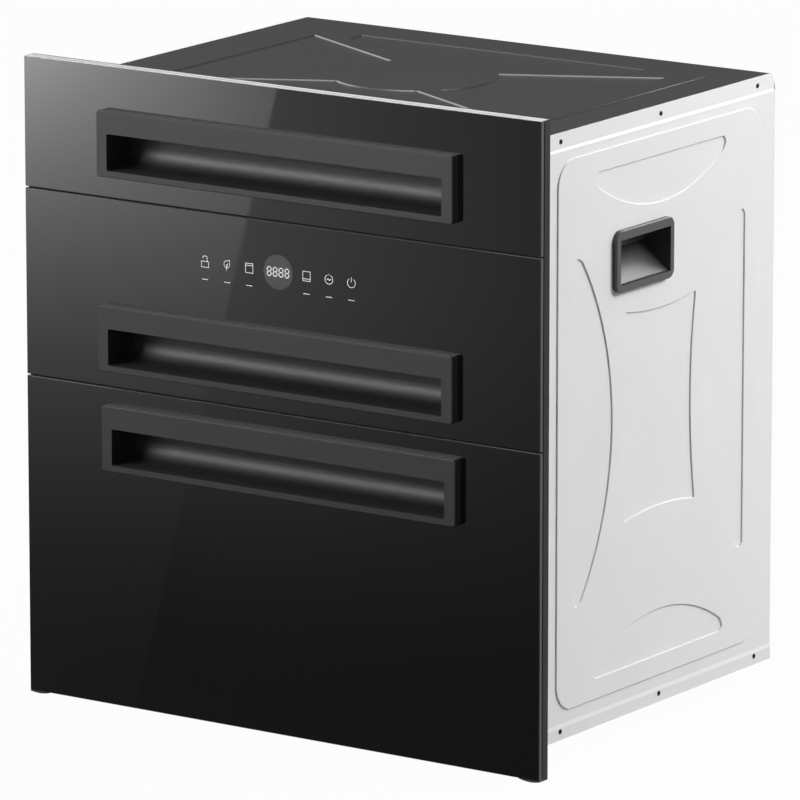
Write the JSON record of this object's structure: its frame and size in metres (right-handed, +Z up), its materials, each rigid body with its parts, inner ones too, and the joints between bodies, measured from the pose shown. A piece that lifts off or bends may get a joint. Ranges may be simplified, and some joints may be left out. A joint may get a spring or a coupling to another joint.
{
  "type": "dish sterilizer cabinet",
  "caption": "Built-in dish sterilizer cabinet: black glass drawer fronts with scooped pulls, white pressed steel body with carry cups, wire baskets on telescopic slides.",
  "frame": {"origin": "middle of the footprint on the floor, at the underside of the feet", "axes": "+Z up, -Y out of the drawer fronts, +X to the right seen from the front"},
  "size_m": [0.6, 0.4634, 0.6361],
  "materials": {
    "white_steel": "smooth powder coat",
    "dark_steel": "dark satin powder coat",
    "zinc_steel": "zinc plated sheet",
    "stainless": "brushed stainless sheet",
    "black_glass": "black backed, polished",
    "pull_grey": "fine satin moulding",
    "cup_grey": "fine satin moulding",
    "black_plastic": "matt moulding",
    "seal": "matt silicone",
    "foot_rubber": "matt rubber",
    "wire": "bright plated wire",
    "quartz": "clear tube",
    "board": "circuit board",
    "module": "matt moulding",
    "fan_black": "matt moulding",
    "wool": "mineral wool",
    "screw": "nickel plated",
    "magnet": "nickel plated"
  },
  "bodies": {
    "cabinet": {"back_panel": "zinc_steel", "base_tray": "white_steel", "board_case": "black_plastic", "cabinet_screws": "screw", "cable_gland": "black_plastic", "carry_cup_left": "cup_grey", "carry_cup_right": "cup_grey", "door_sensors": "black_plastic", "fan_frame": "fan_black", "feet": "foot_rubber", "frame_end_caps": "black_plastic", "front_frame": "dark_steel", "heater_reflector": "stainless", "heater_tubes": "quartz", "insulation_mats": "wool", "lamp_ballast": "module", "lamp_holders": "module", "liner_supports": "zinc_steel", "lower_liner": "stainless", "outer_rails": "zinc_steel", "ozone_generator": "module", "power_board": "board", "ptc_heater": "zinc_steel", "side_panel_left": "white_steel", "side_panel_right": "white_steel", "terminal_block": "module", "thermal_cutout": "black_plastic", "top_cover": "dark_steel", "upper_liner": "stainless", "uv_lamps": "quartz", "wire_guards": "wire"},
    "fan_rotor": {"fan_impeller": "fan_black"},
    "upper_drawer": {"upper_glass": "black_glass", "upper_pan": "stainless", "upper_pull": "pull_grey", "upper_gasket": "seal", "upper_magnet": "magnet", "upper_arms": "zinc_steel", "upper_basket": "wire", "upper_inner_rails": "zinc_steel"},
    "upper_rails": {"upper_middle_rails": "zinc_steel"},
    "middle_drawer": {"middle_glass": "black_glass", "middle_pan": "stainless", "middle_pull": "pull_grey", "middle_gasket": "seal", "middle_magnet": "magnet", "middle_arms": "zinc_steel", "middle_basket": "wire", "middle_inner_rails": "zinc_steel", "control_board": "board"},
    "middle_rails": {"middle_middle_rails": "zinc_steel"},
    "lower_drawer": {"lower_glass": "black_glass", "lower_pan": "stainless", "lower_pull": "pull_grey", "lower_gasket": "seal", "lower_magnet": "magnet", "lower_arms": "zinc_steel", "lower_basket": "wire", "lower_inner_rails": "zinc_steel"},
    "lower_rails": {"lower_middle_rails": "zinc_steel"}
  },
  "joints": [
    {"name": "upper_slide", "type": "slide", "parent": "cabinet", "child": "upper_drawer", "axis": [0, -1, 0], "range_m": [0, 0.34]},
    {"name": "upper_rails_slide", "type": "slide", "parent": "cabinet", "child": "upper_rails", "axis": [0, -1, 0], "range_m": [0, 0.17]},
    {"name": "middle_slide", "type": "slide", "parent": "cabinet", "child": "middle_drawer", "axis": [0, -1, 0], "range_m": [0, 0.34]},
    {"name": "middle_rails_slide", "type": "slide", "parent": "cabinet", "child": "middle_rails", "axis": [0, -1, 0], "range_m": [0, 0.17]},
    {"name": "lower_slide", "type": "slide", "parent": "cabinet", "child": "lower_drawer", "axis": [0, -1, 0], "range_m": [0, 0.34]},
    {"name": "lower_rails_slide", "type": "slide", "parent": "cabinet", "child": "lower_rails", "axis": [0, -1, 0], "range_m": [0, 0.17]},
    {"name": "fan_spin", "type": "hinge", "parent": "cabinet", "child": "fan_rotor", "pos_m": [0.095, 0.20355, 0.452], "axis": [0, 1, 0], "continuous": true}
  ],
  "couplings": [
    {"joint": "upper_rails_slide", "follows": "upper_slide", "ratio": 0.5},
    {"joint": "middle_rails_slide", "follows": "middle_slide", "ratio": 0.5},
    {"joint": "lower_rails_slide", "follows": "lower_slide", "ratio": 0.5}
  ]
}
